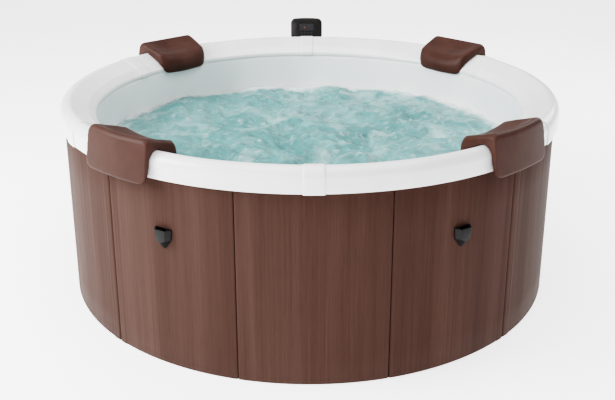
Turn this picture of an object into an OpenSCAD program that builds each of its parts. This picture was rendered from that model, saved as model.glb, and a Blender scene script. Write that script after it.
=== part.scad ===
// Round panel-walled hot tub with clip-over headrests and a pump unit standing behind it.
// The origin is on the floor, on the tub's axis. The front of the tub faces -Y and the pump unit is at +Y.
// Places round the tub are given as an azimuth: 0 at the front, growing towards +X.

/* [Tub] */
// Outside diameter over the rim
tub_d = 1850; // [1800:10:1900]
// Height of the rim's crest above the floor
tub_h = 716; // [700:2:740]
// Thickness of the foam core boards in the wall
core_t = 102; // [96:1:104]
// Thickness of the wood-grain facing panels
panel_t = 5; // [3:1:6]
// Gap at each seam between facing panels
seam_gap = 2.4; // [1:0.2:4]

/* [Rim] */
// How far the rim stands out past the wall
rim_overhang = 14; // [12:1:16]
// Height of the rim's outer face, from its lower edge to the crest
rim_drop = 78; // [76:1:82]
// Radius of the rim's outer shoulder
shoulder = 33; // [30:1:36]
// Angle at which the top of the rim falls towards the water
rim_slope = 27; // [24:1:29]
// Width of each joint sleeve along the rim
sleeve_w = 65; // [50:1:76]

/* [Headrests] */
// Width of a headrest along the rim
headrest_w = 280; // [240:2:290]
// Azimuth of the front left headrest
front_left_az = -40; // [-48:0.5:-34]
// Azimuth of the front right headrest
front_right_az = 44; // [34:0.5:48]
// Azimuth of the rear left headrest
rear_left_az = -136; // [-144:0.5:-132]
// Azimuth of the rear right headrest
rear_right_az = 132; // [132:0.5:144]

/* [Pump unit] */
// Width of the pump unit's casing
unit_w = 380; // [370:2:400]
// Depth of the pump unit's casing
unit_d = 250; // [246:2:270]
// Height of the pump unit's casing
unit_h = 600; // [590:2:620]
// Width of the display head
head_w = 150; // [140:1:160]
// Height of the display head
head_h = 90; // [84:1:96]
// Angle at which the display leans back
head_tilt = 14; // [8:1:16]

/* [Hidden] */
$fn = 64;
ring_fn = 180;
PANELS = 12;
SEGMENTS = 6;

rim_r = tub_d / 2;
wall_r = rim_r - rim_overhang;
core_out = wall_r - panel_t - 0.2;
core_in = wall_r - panel_t - core_t;
liner_t = 2.8;
liner_in = core_in - 0.2 - liner_t;
mat_t = 14;
floor_z = mat_t + 0.4;
rim_bottom = tub_h - rim_drop;

crest_r = rim_r - shoulder;
crest_round = 24;
edge_round = 12;
top_run = 63;
slope_start = [crest_r, tub_h - crest_round] + crest_round * [-sin(rim_slope), cos(rim_slope)];
slope_end = slope_start - top_run * [cos(rim_slope), sin(rim_slope)];
edge_c = slope_end - edge_round * [-sin(rim_slope), cos(rim_slope)];
lip_angle = 40;
lip_r = liner_in - 3.5;
lip_bottom = rim_bottom + 10;
sleeve_in = 0.4;
sleeve_out = 3.2;

// The wall stops below the corner of the rim's lip, so that the liner's folded edge stays inside the rim
wall_h = min(rim_bottom + 20, lip_corner(0)[1] - 4);
rim_seat = wall_h + 2.8;

headrests = [front_left_az, front_right_az, rear_left_az, rear_right_az];
headrest_span = headrest_w / (rim_r + 20) * 180 / PI;
headrest_gap = 2;
skirt_out = rim_r + 30;
skirt_bottom = rim_bottom - 17;

// Water and air connections through the back panel: x and z of each
suction = [-60, 150];
return_ = [60, 150];
air = [135, 440];
water_r = 25;
air_r = 16;
air_bore = 11;
hole_play = 1.5;
drain_az = 150;
drain_z = 50;
drain_r = 15;

sockets = [-30, 30, -150, 150];
socket_w = 62;
socket_h = 66;
socket_out = 22;
socket_z = 412;
slot_w = 36;
slot_t = 10;

unit_y = rim_r + 20;
unit_yc = unit_y + unit_d / 2;
unit_back = unit_y + unit_d;
unit_wall = 4;
unit_round = 35;
unit_foot = 6;
tray_floor = unit_foot + 6;
tray_top = 30;
gland = [unit_back - 60, 70];
gland_bore = 4.6;
door_w = 280;
door_z = [70, 550];
hinge_x = -door_w / 2 - 7;
hinge_y = unit_back + 7;
hinge_pin_r = 3;
hinge_zs = [130, 470];
shaft_play = 0.05;

head_c = [0, rim_r + 43, tub_h + 31];
head_t = 30;
post_w = 72;
post_t = 18;
post_top = head_c[2] - 36;
window = [70, 33];
button_r = 5.5;
buttons = [for (x = [-24, -8, 8, 24]) [x, -28]];

pump_y = unit_y + 40;
shaft_r = 5;
heater_c = [60, unit_y + 117];
blower_c = [105, unit_y + 165, 300];
fan_shaft_r = 3.95;

// ---- shared shapes ----

// A cylinder along +Y from y0 to y1, at x and z
module bar_y(x, z, y0, y1, r) translate([x, y0, z]) rotate([-90, 0, 0]) cylinder(h = y1 - y0, r = r);

// A cylinder along +X from x0 to x1, at y and z
module bar_x(y, z, x0, x1, r) translate([x0, y, z]) rotate([0, 90, 0]) cylinder(h = x1 - x0, r = r);

// A standing tube at x and y
module pipe_z(x, y, z0, z1, r, bore) translate([x, y, z0]) difference() {
    cylinder(h = z1 - z0, r = r);
    translate([0, 0, -1]) cylinder(h = z1 - z0 + 2, r = bore);
}

// Turns a profile of radius and height through span degrees, centred on azimuth az
module sweep_at(az, span)
    rotate([0, 0, az - 90 - span / 2]) rotate_extrude(angle = span, $fn = ring_fn) children();

// Puts something modelled at the front of the tub at azimuth az
module at_azimuth(az) rotate([0, 0, az]) children();

module rounded_rect(w, d, r) {
    square([w - 2 * r, d], center = true);
    square([w, d - 2 * r], center = true);
    for (x = [-1, 1], y = [-1, 1]) translate([x * (w / 2 - r), y * (d / 2 - r)]) circle(r);
}

function arc(c, r, from, to, n) =
    [for (i = [0:n]) let (a = from + (to - from) * i / n) c + r * [cos(a), sin(a)]];
function reversed(v) = [for (i = [len(v) - 1:-1:0]) v[i]];

// ---- the rim's section: the visible face, standing off by g ----

function lip_start(g) = edge_c + (edge_round + g) * [-sin(lip_angle), cos(lip_angle)];
function lip_corner(g) = [lip_r - g, lip_start(g)[1] - (lip_start(g)[0] - lip_r + g) * tan(lip_angle)];
function lip_end(g) = [lip_r - g, lip_bottom];
function rim_face(g) = concat([[rim_r + g, rim_bottom]], rim_top(g));
function rim_top(g) = concat(
    arc([crest_r, tub_h - shoulder], shoulder + g, 0, 90, 8),
    arc([crest_r, tub_h - crest_round], crest_round + g, 90 + rim_slope / 4, 90 + rim_slope, 3),
    arc(edge_c, edge_round + g, 90 + rim_slope, 90 + lip_angle, 2),
    [lip_corner(g), lip_end(g)]
);

// ---- wall ----

// The holes through the wall for the connections at the back and the drain
module wall_holes() {
    for (p = [suction, return_]) bar_y(p[0], p[1], liner_in - 100, rim_r, water_r + hole_play);
    bar_y(air[0], air[1], liner_in - 100, rim_r, air_r + hole_play);
    at_azimuth(drain_az) bar_y(0, drain_z, -rim_r, 100 - liner_in, drain_r + hole_play);
}

module wall_panel(i) color("#6b4a3e") difference() {
    sweep_at((i - 1) * 360 / PANELS, 360 / PANELS - seam_gap / wall_r * 180 / PI)
        translate([wall_r - panel_t, 0]) square([panel_t, wall_h]);
    wall_holes();
}

module core_boards() color("#e8e4da") difference() {
    for (i = [0:PANELS - 1]) sweep_at(i * 360 / PANELS, 360 / PANELS - 0.1)
        translate([core_in, 0]) square([core_out - core_in, wall_h]);
    wall_holes();
}

module liner() color("#f2f2f2") difference() {
    rotate_extrude($fn = ring_fn) polygon([
        [0, floor_z], [core_in - 0.2, floor_z], [core_in - 0.2, wall_h + 0.2],
        [wall_r - 24, wall_h + 0.2], [wall_r - 24, wall_h + 2.4], [liner_in, wall_h + 2.4],
        [liner_in, floor_z + liner_t], [0, floor_z + liner_t]
    ]);
    wall_holes();
}

module floor_mat() color("#3f4650") cylinder(h = mat_t, r = core_in - 1, $fn = ring_fn);

// ---- rim ----

module rim_segment(i) color("#f4f4f4")
    sweep_at((i - 0.5) * 360 / SEGMENTS, 360 / SEGMENTS - 0.15) polygon(concat(
        rim_face(0),
        [lip_end(0) + [0.6, -3], [liner_in - 0.6, lip_bottom - 3.5], [liner_in - 0.6, rim_seat],
         [wall_r + 0.6, rim_seat], [wall_r + 0.6, rim_bottom]]
    ));

module rim_sleeves() color("#fafafa") for (i = [0:SEGMENTS - 1])
    sweep_at(i * 360 / SEGMENTS, sleeve_w / rim_r * 180 / PI) polygon(concat(
        [[rim_r + sleeve_out, rim_bottom - 2]], rim_face(sleeve_out),
        reversed(rim_face(sleeve_in)), [[rim_r + sleeve_in, rim_bottom - 2]]
    ));

// ---- headrests ----

// A skirt that flares outwards, a top over the rim, and a roll hanging inside the lip
module headrest(i) color("#7a4a3c") sweep_at(headrests[i - 1], headrest_span) polygon(concat(
    [[rim_r + 13, skirt_bottom], [skirt_out - 5, skirt_bottom], [skirt_out, skirt_bottom + 6]],
    arc([crest_r + 27, tub_h + 23], 18, 8, 85, 5),
    [[crest_r - 22, tub_h + 16]],
    arc(slope_end + [-30, -18], 24, 110, 270, 9),
    [lip_end(headrest_gap) + [0, -4]],
    reversed(rim_top(headrest_gap))
));

// ---- cover sockets ----

// A gem-shaped socket: a shield outline at the wall, narrowing to a small front face, open at the top
module cover_socket() difference() {
    hull() for (layer = [[-4, 1, 0], [3, 1, 0], [socket_out, 0.62, 24]]) {
        half = socket_w / 2 * layer[1];
        waist = max(socket_h * 0.45, layer[2] + 8);
        tip = 5 * layer[1];
        translate([0, -wall_r - layer[0], socket_z]) rotate([90, 0, 0]) linear_extrude(0.5) polygon([
            [-half, socket_h], [-0.9 * half, waist], [-tip, layer[2]],
            [tip, layer[2]], [0.9 * half, waist], [half, socket_h]
        ]);
    }
    translate([0, 0, -1]) cylinder(h = wall_h, r = wall_r + 0.2, $fn = ring_fn);
    translate([-slot_w / 2, -wall_r - 4 - slot_t, socket_z + 30]) cube([slot_w, slot_t, socket_h]);
}

module cover_sockets() color("#1c1c1e") for (a = sockets) at_azimuth(a) cover_socket();

// ---- bubble ring and wall fittings ----

ring_r = liner_in - 55;
ring_z = floor_z + liner_t + 14.5;
module bubble_ring() color("#eeeeee") {
    translate([0, 0, ring_z]) rotate_extrude($fn = ring_fn) translate([ring_r, 0]) circle(14);
    for (i = [0:23]) rotate([0, 0, i * 15 + 7.5]) translate([ring_r, 0, ring_z + 10]) cylinder(h = 7, r = 4);
}

// A saddle flange inside the wall, and a threaded tube out to y_out
module wall_fitting(p, r, bore, flange_r, y_in, y_out) difference() {
    union() {
        intersection() {
            bar_y(p[0], p[1], y_in, core_in, flange_r);
            translate([0, 0, p[1] - 80]) cylinder(h = 160, r = liner_in - 0.2, $fn = ring_fn);
        }
        bar_y(p[0], p[1], y_in + 2, y_out, r);
    }
    bar_y(p[0], p[1], y_in - 10, y_out + 1, bore);
}

tube_end = unit_y - 15;
flange_y = liner_in - 20;
water_bore = 19;
module suction_fitting() color("#dfe1e3") {
    wall_fitting(suction, water_r, water_bore, 46, flange_y, tube_end);
    difference() {
        bar_y(suction[0], suction[1], flange_y - 29, flange_y + 0.5, 22);
        bar_y(suction[0], suction[1], flange_y - 31, flange_y + 3, water_bore);
    }
}

module return_fitting() color("#dfe1e3") {
    wall_fitting(return_, water_r, water_bore, 42, flange_y, tube_end);
    difference() {
        bar_y(return_[0], return_[1], flange_y - 19, flange_y + 1, 28);
        bar_y(return_[0], return_[1], flange_y - 21, flange_y + 2, 15);
    }
}

riser_y = sqrt(pow(ring_r, 2) - pow(air[0], 2));
module air_fitting() color("#eeeeee") {
    wall_fitting(air, air_r, air_bore, 30, riser_y + 8, unit_y + 20);
    difference() {
        union() {
            translate([air[0], riser_y, ring_z]) cylinder(h = air[1] - ring_z, r = 12);
            translate([air[0], riser_y, air[1]]) sphere(12);
            bar_y(air[0], air[1], riser_y, riser_y + 9, 12);
        }
        translate([0, 0, ring_z]) rotate_extrude($fn = ring_fn) translate([ring_r, 0]) circle(14.2);
    }
}

module fitting_nuts() color("#c9ccd0") {
    for (p = [suction, return_]) difference() {
        bar_y(p[0], p[1], wall_r + 0.4, wall_r + 9, 38);
        bar_y(p[0], p[1], wall_r - 5, wall_r + 20, water_r + 0.1);
    }
    difference() {
        bar_y(air[0], air[1], wall_r + 0.4, wall_r + 9, 26);
        bar_y(air[0], air[1], wall_r - 5, wall_r + 20, air_r + 0.1);
    }
}

module union_nut(p) color("#2b2d30") difference() {
    union() {
        bar_y(p[0], p[1], tube_end - 8, tube_end + 12, 35);
        for (a = [0:30:330]) translate([p[0], 0, p[1]]) rotate([0, a, 0])
            translate([33, tube_end - 8, -3]) cube([5, 20, 6]);
    }
    bar_y(p[0], p[1], tube_end - 20, tube_end + 20, water_r + 0.4);
}
module union_nut_suction() union_nut(suction);
module union_nut_return() union_nut(return_);

// ---- filter ----

filter_y = flange_y - 5;
filter_len = 84;
filter_front = filter_y - filter_len;
filter_end_r = 53;
filter_end_t = 8;
module filter_cartridge() color("#f7f9fb") difference() {
    union() {
        bar_y(suction[0], suction[1], filter_front, filter_front + filter_end_t, filter_end_r);
        bar_y(suction[0], suction[1], filter_front + filter_end_t - 0.1, filter_y - filter_end_t + 0.1, 50);
        bar_y(suction[0], suction[1], filter_y - filter_end_t, filter_y, filter_end_r);
    }
    bar_y(suction[0], suction[1], filter_front + 6, filter_y + 4, 22.4);
}

module filter_cap() color("#e4e7ea") difference() {
    bar_y(suction[0], suction[1], filter_front - 11, filter_y + 3, filter_end_r + 7);
    bar_y(suction[0], suction[1], filter_front - 6, filter_y + 4, filter_end_r + 2);
    for (a = [0:30:330]) translate([suction[0], 0, suction[1]]) rotate([0, a, 0])
        translate([50, filter_front + 8, -5]) cube([15, 64, 10]);
}

// ---- drain ----

module drain_valve() color("#d8dadd") at_azimuth(drain_az) difference() {
    union() {
        intersection() {
            bar_y(0, drain_z, -core_in, 8 - liner_in, 30);
            cylinder(h = 100, r = liner_in - 0.2, $fn = ring_fn);
        }
        bar_y(0, drain_z, -wall_r - 27, 6 - liner_in, drain_r);
        bar_y(0, drain_z, -wall_r - 9, -wall_r - 0.4, 25);
    }
    bar_y(0, drain_z, -wall_r - 30, 100 - liner_in, 11);
}

module drain_cap() color("#2b2d30") at_azimuth(drain_az) difference() {
    union() {
        bar_y(0, drain_z, -wall_r - 33, -wall_r - 11, 21);
        for (a = [0:30:330]) translate([0, 0, drain_z]) rotate([0, a, 0])
            translate([19, -wall_r - 33, -2]) cube([4, 20, 4]);
    }
    bar_y(0, drain_z, -wall_r - 28, -wall_r, drain_r + 0.4);
}

// ---- pump unit casing ----

module unit_base() color("#2a2b2e") difference() {
    union() {
        translate([0, unit_yc, unit_foot]) linear_extrude(tray_top - unit_foot)
            rounded_rect(unit_w, unit_d, unit_round);
        for (x = [-1, 1], y = [-1, 1])
            translate([x * (unit_w / 2 - 45), unit_yc + y * (unit_d / 2 - 45), 0]) cylinder(h = 10, r = 16);
    }
    translate([0, unit_yc, tray_floor]) linear_extrude(tray_top)
        rounded_rect(unit_w - 16, unit_d - 16, unit_round - 8);
}

// Two hinges, each a pin held between two lugs
module hinge_lugs() for (z = hinge_zs) translate([hinge_x, hinge_y, z]) {
    for (dz = [-16, 10]) translate([0, 0, dz]) {
        cylinder(h = 8, r = 6.5);
        translate([-6.5, -8, 0]) cube([13, 8, 8]);
    }
    translate([0, 0, -12]) cylinder(h = 26, r = hinge_pin_r);
}

// The casing, open below and at the service door
module unit_shell() color("#35373b") {
    difference() {
        translate([0, unit_yc, tray_top + 0.2]) linear_extrude(unit_h - tray_top - 0.2)
            rounded_rect(unit_w, unit_d, unit_round);
        translate([0, unit_yc, 0]) linear_extrude(unit_h - unit_wall)
            rounded_rect(unit_w - 2 * unit_wall, unit_d - 2 * unit_wall, unit_round - unit_wall);
        translate([-door_w / 2, unit_back - 12, door_z[0]]) cube([door_w, 30, door_z[1] - door_z[0]]);
        for (p = [suction, return_]) bar_y(p[0], p[1], unit_y - 5, unit_y + 20, water_r + 0.2);
        bar_y(air[0], air[1], unit_y - 5, unit_y + 30, air_r + 0.4);
        bar_x(gland[0], gland[1], unit_w / 2 - 20, unit_w / 2 + 10, 9);
    }
    hinge_lugs();
}

module service_door() color("#3c3f44") {
    difference() {
        translate([-door_w / 2 + 1, unit_back - 5, door_z[0] + 1])
            cube([door_w - 2, 6, door_z[1] - door_z[0] - 2]);
        for (z = [330:18:510]) translate([-90, unit_back - 10, z]) cube([180, 20, 7]);
    }
    for (z = hinge_zs) difference() {
        union() {
            translate([hinge_x, hinge_y, z - 7.5]) cylinder(h = 17, r = 6.5);
            translate([hinge_x, hinge_y - 6.4, z - 7.5]) cube([20, 3.4, 17]);
        }
        translate([hinge_x, hinge_y, z - 10]) cylinder(h = 22, r = hinge_pin_r + shaft_play);
    }
}

// ---- display ----

// The display's own frame: x along it, y up its face, z out of its face
module on_display() translate(head_c) rotate([90 - head_tilt, 0, 0]) children();

// The head and the post it stands on
module display_head() color("#18191b") {
    on_display() difference() {
        translate([0, 0, -head_t / 2]) linear_extrude(head_t) rounded_rect(head_w, head_h, 13);
        translate([0, 0, head_t / 2 - 2]) linear_extrude(4) rounded_rect(window[0] + 0.6, window[1] + 0.6, 3);
        for (b = buttons) translate([b[0], b[1], head_t / 2 - 7]) cylinder(h = 10, r = button_r + 0.4);
    }
    translate([-post_w / 2, head_c[1] - post_t, unit_h]) cube([post_w, post_t, post_top - unit_h]);
}

module display_window() color("#6d7272") on_display()
    translate([0, 0, head_t / 2 - 2]) linear_extrude(1.6) rounded_rect(window[0], window[1], 2.7);

module button(i) color("#2f3134") on_display()
    translate([buttons[i - 1][0], buttons[i - 1][1], head_t / 2 - 4]) cylinder(h = 5, r = button_r);

// ---- pump, heater, blower and controls ----

volute_top = 68;
volute_r = 52;
volute_d = 40;
motor_r = 44;
motor_end = pump_y + 140;
fin_ys = [for (y = [56:14:126]) pump_y + y];
fin_r = 48;
fin_t = 4;
module pump_volute() color("#26282b") difference() {
    union() {
        bar_y(suction[0], suction[1], pump_y, pump_y + volute_d, volute_r);
        bar_y(suction[0], suction[1], tube_end + 0.4, pump_y + 1, water_r);
        translate([suction[0] - 34, pump_y + 20, suction[1]]) cylinder(h = volute_top, r = hose_r);
    }
    bar_y(suction[0], suction[1], pump_y + 4, pump_y + volute_d - 4, volute_r - 6);
    bar_y(suction[0], suction[1], tube_end - 5, pump_y + 5, water_bore);
    bar_y(suction[0], suction[1], pump_y + 30, pump_y + volute_d + 5, shaft_r + 0.5);
    translate([suction[0] - 34, pump_y + 20, suction[1] + 5]) cylinder(h = volute_top, r = hose_bore);
}

module pump_impeller() color("#c8ccd2") {
    bar_y(suction[0], suction[1], pump_y + 27, pump_y + 31, 42);
    bar_y(suction[0], suction[1], pump_y + 10, pump_y + 28, 9);
    bar_y(suction[0], suction[1], pump_y + 30, pump_y + 90, shaft_r);
    for (a = [0:60:300]) translate([suction[0], 0, suction[1]]) rotate([0, a, 0])
        translate([7, pump_y + 12, -1.5]) cube([33, 16, 3]);
}

module pump_motor() color("#4a4e54") {
    difference() {
        union() {
            bar_y(suction[0], suction[1], pump_y + volute_d + 1, motor_end, motor_r);
            for (y = fin_ys) bar_y(suction[0], suction[1], y, y + fin_t, fin_r);
        }
        bar_y(suction[0], suction[1], pump_y + volute_d, pump_y + 95, shaft_r + shaft_play);
    }
    difference() {
        translate([suction[0] - 30, pump_y + 52, tray_floor]) cube([60, 76, suction[1] - 36]);
        bar_y(suction[0], suction[1], pump_y + volute_d + 5, motor_end - 4, motor_r - 0.1);
        for (y = fin_ys) bar_y(suction[0], suction[1], y - 0.1, y + fin_t + 0.1, fin_r + 0.1);
    }
}

heater_bottom = 200;
heater_top = 422;
heater_r = 32;
hose_r = 16;
hose_bore = 11;
module heater() color("#b8bcc2") translate([heater_c[0], heater_c[1], 0]) difference() {
    union() {
        translate([0, 0, 225]) cylinder(h = 170, r = heater_r);
        for (z = [213, 388]) translate([0, 0, z]) cylinder(h = 18, r = heater_r + 4);
        translate([0, 0, heater_bottom]) cylinder(h = heater_top - heater_bottom, r = 14);
    }
    translate([0, 0, 230]) cylinder(h = 160, r = heater_r - 3);
    translate([0, 0, heater_bottom - 1]) cylinder(h = heater_top - heater_bottom + 2, r = 10);
}

hose_from = [suction[0] - 34, pump_y + 20];
hose_span = heater_c - hose_from;
hose_top = 440;
// The hose's route: two straight cuffs of radius cuff, and a half turn of radius r between them
module pump_hose_path(r, cuff, spare) {
    for (end = [concat(hose_from, suction[1] + volute_top), concat(heater_c, heater_top)])
        translate([end[0], end[1], end[2] + 0.5 - spare])
            cylinder(h = hose_top - end[2] - 0.5 + spare, r = cuff);
    translate([(hose_from + heater_c)[0] / 2, (hose_from + heater_c)[1] / 2, hose_top])
        rotate([0, 0, atan2(hose_span[1], hose_span[0])]) rotate([90, 0, 0])
            rotate_extrude(angle = 180) translate([norm(hose_span) / 2, 0]) circle(r);
}
module pump_hose() color("#303236") difference() {
    pump_hose_path(hose_r, hose_r + 2, 0);
    pump_hose_path(hose_bore, hose_bore - 1, 1);
}

bend = 45;
module return_hose() color("#303236") {
    translate([return_[0], heater_c[1] - bend, return_[1] + bend]) rotate([0, 90, 0])
        rotate_extrude(angle = 90) translate([bend, 0]) difference() {
            circle(hose_r);
            circle(hose_bore);
        }
    pipe_z(heater_c[0], heater_c[1], return_[1] + bend, heater_bottom - 0.2, hose_r, hose_bore);
    difference() {
        union() {
            bar_y(return_[0], return_[1], unit_y + 40, heater_c[1] - bend, hose_r);
            bar_y(return_[0], return_[1], tube_end + 0.4, unit_y + 41, water_r);
        }
        bar_y(return_[0], return_[1], tube_end - 1, heater_c[1] - bend + 1, hose_bore);
    }
}

plate_x = 98;
module mounting_plate() color("#a9adb3") {
    translate([plate_x, unit_y + 55, tray_floor]) cube([4, 165, 500]);
    translate([plate_x - 40, unit_y + 185, tray_floor]) cube([42, 35, 4]);
    for (z = [245, 360]) difference() {
        union() {
            translate([heater_c[0], heater_c[1], z]) cylinder(h = 14, r = heater_r + 5);
            translate([heater_c[0] + 25, heater_c[1] - 12, z]) cube([plate_x - heater_c[0] - 24, 24, 14]);
        }
        translate([heater_c[0], heater_c[1], z - 1]) cylinder(h = 16, r = heater_r + 0.1);
    }
}

outlet_y = blower_c[1] - 33;
air_bend = 55;
blower_r = 54;
blower_w = 60;
module blower_housing() color("#3a3d42") {
    difference() {
        union() {
            bar_x(blower_c[1], blower_c[2], blower_c[0] - 2.9, blower_c[0] + blower_w, blower_r);
            translate([air[0], outlet_y, blower_c[2]]) cylinder(h = 74, r = air_r);
        }
        bar_x(blower_c[1], blower_c[2], blower_c[0] + 1, blower_c[0] + blower_w - 4, blower_r - 4);
        translate([air[0], outlet_y, blower_c[2] + 10]) cylinder(h = 80, r = air_bore);
        bar_x(blower_c[1], blower_c[2], blower_c[0] + blower_w - 10, blower_c[0] + blower_w + 10, 24);
    }
    bar_x(blower_c[1], blower_c[2], blower_c[0], blower_c[0] + 42, fan_shaft_r);
}

module blower_fan() color("#d9dcdf") {
    difference() {
        union() {
            bar_x(blower_c[1], blower_c[2], blower_c[0] + 6, blower_c[0] + 9, 44);
            bar_x(blower_c[1], blower_c[2], blower_c[0] + 6, blower_c[0] + 40, 12);
        }
        bar_x(blower_c[1], blower_c[2], blower_c[0], blower_c[0] + 50, fan_shaft_r + shaft_play);
    }
    for (a = [0:30:330]) translate([0, blower_c[1], blower_c[2]]) rotate([a, 0, 0])
        translate([blower_c[0] + 8.9, 30, -1]) cube([38, 13, 2]);
}

module air_hose() color("#303236") {
    pipe_z(air[0], outlet_y, blower_c[2] + 74.2, air[1] - air_bend, air_r, air_bore);
    translate([air[0], outlet_y - air_bend, air[1] - air_bend]) rotate([90, 0, 90]) rotate_extrude(angle = 90)
        translate([air_bend, 0]) difference() {
            circle(air_r);
            circle(air_bore);
        }
    difference() {
        bar_y(air[0], air[1], unit_y + 20.2, outlet_y - air_bend, air_r);
        bar_y(air[0], air[1], unit_y + 15, outlet_y - air_bend + 1, air_bore);
    }
}

box_x = -unit_w / 2 + unit_wall;
module control_box() color("#2e3135") difference() {
    translate([box_x, unit_y + 55, 280]) cube([56, 150, 220]);
    translate([box_x + 4, unit_y + 59, 284]) cube([48, 142, 212]);
}

module control_board() color("#2f6b45") {
    translate([box_x + 4, unit_y + 65, 290]) cube([2, 130, 200]);
    for (p = [[75, 310, 22], [115, 330, 30], [155, 310, 18], [85, 400, 26], [140, 420, 20]])
        translate([box_x + 5.9, unit_y + p[0], p[1]]) cube([p[2], 28, 40]);
}

module power_gland() color("#1c1c1e") difference() {
    union() {
        bar_x(gland[0], gland[1], unit_w / 2 - 10, unit_w / 2 + 24, 8.8);
        bar_x(gland[0], gland[1], unit_w / 2 + 0.2, unit_w / 2 + 8, 14);
        bar_x(gland[0], gland[1], unit_w / 2 + 7.9, unit_w / 2 + 24, 11.5);
    }
    bar_x(gland[0], gland[1], unit_w / 2 - 12, unit_w / 2 + 26, gland_bore);
}

for (i = [1:PANELS]) wall_panel(i);
core_boards();
liner();
floor_mat();
for (i = [1:SEGMENTS]) rim_segment(i);
rim_sleeves();
for (i = [1:4]) headrest(i);
cover_sockets();
bubble_ring();
suction_fitting();
return_fitting();
air_fitting();
fitting_nuts();
union_nut_suction();
union_nut_return();
filter_cartridge();
filter_cap();
drain_valve();
drain_cap();
unit_base();
unit_shell();
service_door();
display_head();
display_window();
for (i = [1:len(buttons)]) button(i);
pump_volute();
pump_motor();
pump_impeller();
heater();
pump_hose();
return_hose();
mounting_plate();
blower_housing();
blower_fan();
air_hose();
control_box();
control_board();
power_gland();
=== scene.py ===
"""Looks of the round panel-walled hot tub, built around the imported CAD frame.

Places round the tub are given as azimuths: 0 at the front (-Y), growing towards +X. Lengths are metres.
"""
import math

import bmesh
import bpy
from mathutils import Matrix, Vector, noise


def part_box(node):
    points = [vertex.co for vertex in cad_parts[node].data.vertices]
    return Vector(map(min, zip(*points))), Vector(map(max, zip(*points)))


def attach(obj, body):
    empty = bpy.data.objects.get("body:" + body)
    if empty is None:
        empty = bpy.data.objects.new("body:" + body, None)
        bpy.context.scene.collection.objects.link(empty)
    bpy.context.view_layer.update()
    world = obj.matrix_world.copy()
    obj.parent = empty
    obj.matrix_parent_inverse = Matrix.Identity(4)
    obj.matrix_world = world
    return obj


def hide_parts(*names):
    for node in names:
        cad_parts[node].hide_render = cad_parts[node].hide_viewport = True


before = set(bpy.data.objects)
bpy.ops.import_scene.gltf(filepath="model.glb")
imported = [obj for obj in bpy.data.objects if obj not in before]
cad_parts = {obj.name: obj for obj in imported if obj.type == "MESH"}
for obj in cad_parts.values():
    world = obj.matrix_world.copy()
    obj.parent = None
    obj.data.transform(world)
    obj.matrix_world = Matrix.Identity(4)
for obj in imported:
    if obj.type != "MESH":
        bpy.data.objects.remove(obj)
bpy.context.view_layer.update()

# ---------------------------------------------------------------- camera
CAM_AZ = math.radians(-0.85)
CAM_OUT = 3.2515
CAM_HEIGHT = 1.5817
CAM_PITCH = math.radians(18.29)
cam = bpy.data.cameras.new("camera")
cam.sensor_width = 36.0
cam.lens = 51.46
cam.shift_x = -0.0030
cam.shift_y = -0.1028
camera = bpy.data.objects.new("camera", cam)
camera.location = (CAM_OUT * math.sin(CAM_AZ), -CAM_OUT * math.cos(CAM_AZ), CAM_HEIGHT)
camera.rotation_euler = (math.pi / 2 - CAM_PITCH, 0, CAM_AZ)
bpy.context.scene.collection.objects.link(camera)
bpy.context.scene.camera = camera

# ---------------------------------------------------------------- sizes taken from the CAD frame
SLEEVE_OUT = 0.0032
sleeves_low, sleeves_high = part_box("rim_sleeves")
RIM_R = -sleeves_low[1] - SLEEVE_OUT
TUB_H = sleeves_high[2] - SLEEVE_OUT
WALL_R = -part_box("wall_panel_1")[0][1]
WALL_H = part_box("wall_panel_1")[1][2]
LINER_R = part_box("liner")[1][0]
SEAT_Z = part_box("liner")[1][2]
FLOOR_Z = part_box("liner")[0][2]
RIM_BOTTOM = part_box("rim_segment_1")[0][2]
CORE_THICK = 0.1018
LINER_THICK = 0.003
IN_R = -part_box("core_boards")[0][1] - CORE_THICK - LINER_THICK


# ---------------------------------------------------------------- mesh helpers
def polar(r, az, z):
    return Vector((r * math.sin(az), -r * math.cos(az), z))


def make(name, verts, faces, material, body="tub", smooth=True):
    mesh = bpy.data.meshes.new(name)
    mesh.from_pydata([tuple(v) for v in verts], [], faces)
    mesh.validate()
    bm = bmesh.new()
    bm.from_mesh(mesh)
    bmesh.ops.recalc_face_normals(bm, faces=bm.faces)
    bm.to_mesh(mesh)
    bm.free()
    for p in mesh.polygons:
        p.use_smooth = smooth
    obj = bpy.data.objects.new(name, mesh)
    bpy.context.scene.collection.objects.link(obj)
    if material:
        mesh.materials.append(material)
    if body:
        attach(obj, body)
    return obj


def ringed(rings):
    """Verts and faces of a closed, capped loft through rings of equally many points."""
    n = len(rings[0])
    verts = [p for ring in rings for p in ring]
    faces = []
    for i in range(len(rings) - 1):
        for j in range(n):
            k = (j + 1) % n
            faces.append((i * n + j, i * n + k, (i + 1) * n + k, (i + 1) * n + j))
    faces.append(tuple(range(n - 1, -1, -1)))
    faces.append(tuple((len(rings) - 1) * n + j for j in range(n)))
    return verts, faces


def arc(c, r, a0, a1, n):
    """n + 1 points on an arc round c, from a0 to a1 in degrees."""
    out = []
    for i in range(n + 1):
        a = math.radians(a0 + (a1 - a0) * i / n)
        out.append((c[0] + r * math.cos(a), c[1] + r * math.sin(a)))
    return out


def bevel(obj, width, segments=3, angle=35):
    m = obj.modifiers.new("edge", "BEVEL")
    m.width = width
    m.segments = segments
    m.limit_method = "ANGLE"
    m.angle_limit = math.radians(angle)
    m.use_clamp_overlap = True
    m.harden_normals = False


def baked(obj):
    """Applies the object's modifiers to its mesh."""
    deps = bpy.context.evaluated_depsgraph_get()
    mesh = bpy.data.meshes.new_from_object(obj.evaluated_get(deps))
    obj.modifiers.clear()
    obj.data = mesh


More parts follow.
